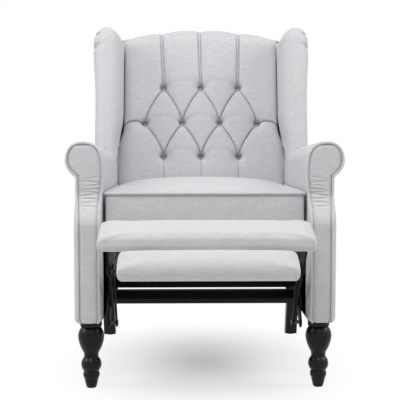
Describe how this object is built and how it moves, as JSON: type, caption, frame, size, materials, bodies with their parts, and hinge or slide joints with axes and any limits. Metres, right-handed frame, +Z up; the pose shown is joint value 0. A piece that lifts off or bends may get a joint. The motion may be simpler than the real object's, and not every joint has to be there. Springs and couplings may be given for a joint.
{
  "type": "wing recliner",
  "caption": "Push-back wing recliner with rolled arms, a tufted back, turned front legs and a folding leg rest.",
  "frame": {"origin": "on the floor, at the centre of the part's footprint with the leg rest open", "axes": "+Z up, +Y to the rear, the sitter faces -Y and the sitter's left is +X"},
  "size_m": [0.744, 1.1054, 1.0183],
  "materials": {
    "linen": "woven light grey linen-look upholstery",
    "black_wood": "near-black satin lacquer",
    "plywood": "bare plywood and softwood",
    "black_steel": "black powder coat",
    "zinc": "dark zinc plate",
    "glide": "matt black plastic"
  },
  "bodies": {
    "base": {"arm_facing_left": "linen", "arm_facing_right": "linen", "arm_frame_left": "plywood", "arm_frame_right": "plywood", "arm_pad_left": "linen", "arm_pad_right": "linen", "base_cross_tubes": "black_steel", "base_pivot_pins": "zinc", "base_plate_left": "black_steel", "base_plate_right": "black_steel", "base_plate_screws": "zinc", "front_leg_bolts": "zinc", "front_leg_left": "black_wood", "front_leg_right": "black_wood", "leg_glides": "glide", "rear_leg_left": "black_wood", "rear_leg_right": "black_wood", "rear_stretcher": "black_wood"},
    "rear_swing": {"rear_swing_link_left": "black_steel", "rear_swing_link_right": "black_steel"},
    "front_swing": {"front_swing_link_left": "black_steel", "front_swing_link_right": "black_steel"},
    "seat": {"seat_plate_left": "black_steel", "seat_plate_right": "black_steel", "seat_front_rail": "plywood", "seat_rear_rail": "plywood", "seat_side_rail_left": "plywood", "seat_side_rail_right": "plywood", "seat_deck_board": "plywood", "seat_cross_tube": "black_steel", "seat_pivot_pins": "zinc", "seat_cushion": "linen"},
    "back": {"back_bracket_left": "black_steel", "back_bracket_right": "black_steel", "back_post_left": "plywood", "back_post_right": "plywood", "back_rails": "plywood", "back_cushion": "linen", "back_buttons": "linen", "outer_back_panel": "linen", "wing_frame_left": "plywood", "wing_frame_right": "plywood", "wing_pad_left": "linen", "wing_pad_right": "linen"},
    "legrest_link": {"legrest_link_left": "black_steel", "legrest_link_right": "black_steel"},
    "control_link": {"control_link_left": "black_steel", "control_link_right": "black_steel", "control_link_pins": "zinc"},
    "ottoman": {"ottoman_pad": "linen", "ottoman_board": "plywood", "ottoman_bracket_left": "black_steel", "ottoman_bracket_right": "black_steel", "ottoman_link_pins": "zinc", "flipper_hinge_arms": "black_steel", "flipper_pivot_pins": "zinc"},
    "flipper": {"flipper_pad": "linen", "flipper_board": "plywood", "flipper_bracket_left": "black_steel", "flipper_bracket_right": "black_steel"}
  },
  "joints": [
    {"name": "recline", "type": "hinge", "parent": "seat", "child": "back", "pos_m": [0, 0.31278, 0.342], "axis": [1, 0, 0], "range_deg": [-31.5, 0]},
    {"name": "rear_swing_turn", "type": "hinge", "parent": "base", "child": "rear_swing", "pos_m": [0, 0.22278, 0.202], "axis": [1, 0, 0], "range_deg": [0, 30.01]},
    {"name": "front_swing_turn", "type": "hinge", "parent": "base", "child": "front_swing", "pos_m": [0, -0.03722, 0.202], "axis": [1, 0, 0], "range_deg": [0, 30.01]},
    {"name": "seat_level", "type": "hinge", "parent": "rear_swing", "child": "seat", "pos_m": [0, 0.25125, 0.30825], "axis": [1, 0, 0], "range_deg": [-30.01, 0]},
    {"name": "legrest_fold", "type": "hinge", "parent": "seat", "child": "legrest_link", "pos_m": [0, -0.12722, 0.212], "axis": [1, 0, 0], "range_deg": [-70.81, 0]},
    {"name": "control_link_turn", "type": "hinge", "parent": "seat", "child": "control_link", "pos_m": [0, -0.17122, 0.172], "axis": [1, 0, 0], "range_deg": [-60.15, 0]},
    {"name": "ottoman_turn", "type": "hinge", "parent": "legrest_link", "child": "ottoman", "pos_m": [0, -0.26765, 0.3244], "axis": [1, 0, 0], "range_deg": [0, 146.82]},
    {"name": "flipper_fold", "type": "hinge", "parent": "ottoman", "child": "flipper", "pos_m": [0, -0.4302, 0.35396], "axis": [1, 0, 0], "range_deg": [0, 170.01]}
  ],
  "couplings": [
    {"joint": "rear_swing_turn", "follows": "recline", "ratio": -0.95238},
    {"joint": "front_swing_turn", "follows": "recline", "ratio": -0.95238},
    {"joint": "seat_level", "follows": "recline", "ratio": 0.95238},
    {"joint": "control_link_turn", "follows": "legrest_fold", "ratio": 0.84929},
    {"joint": "ottoman_turn", "follows": "legrest_fold", "ratio": -2.0733},
    {"joint": "flipper_fold", "follows": "legrest_fold", "ratio": -2.4008}
  ]
}
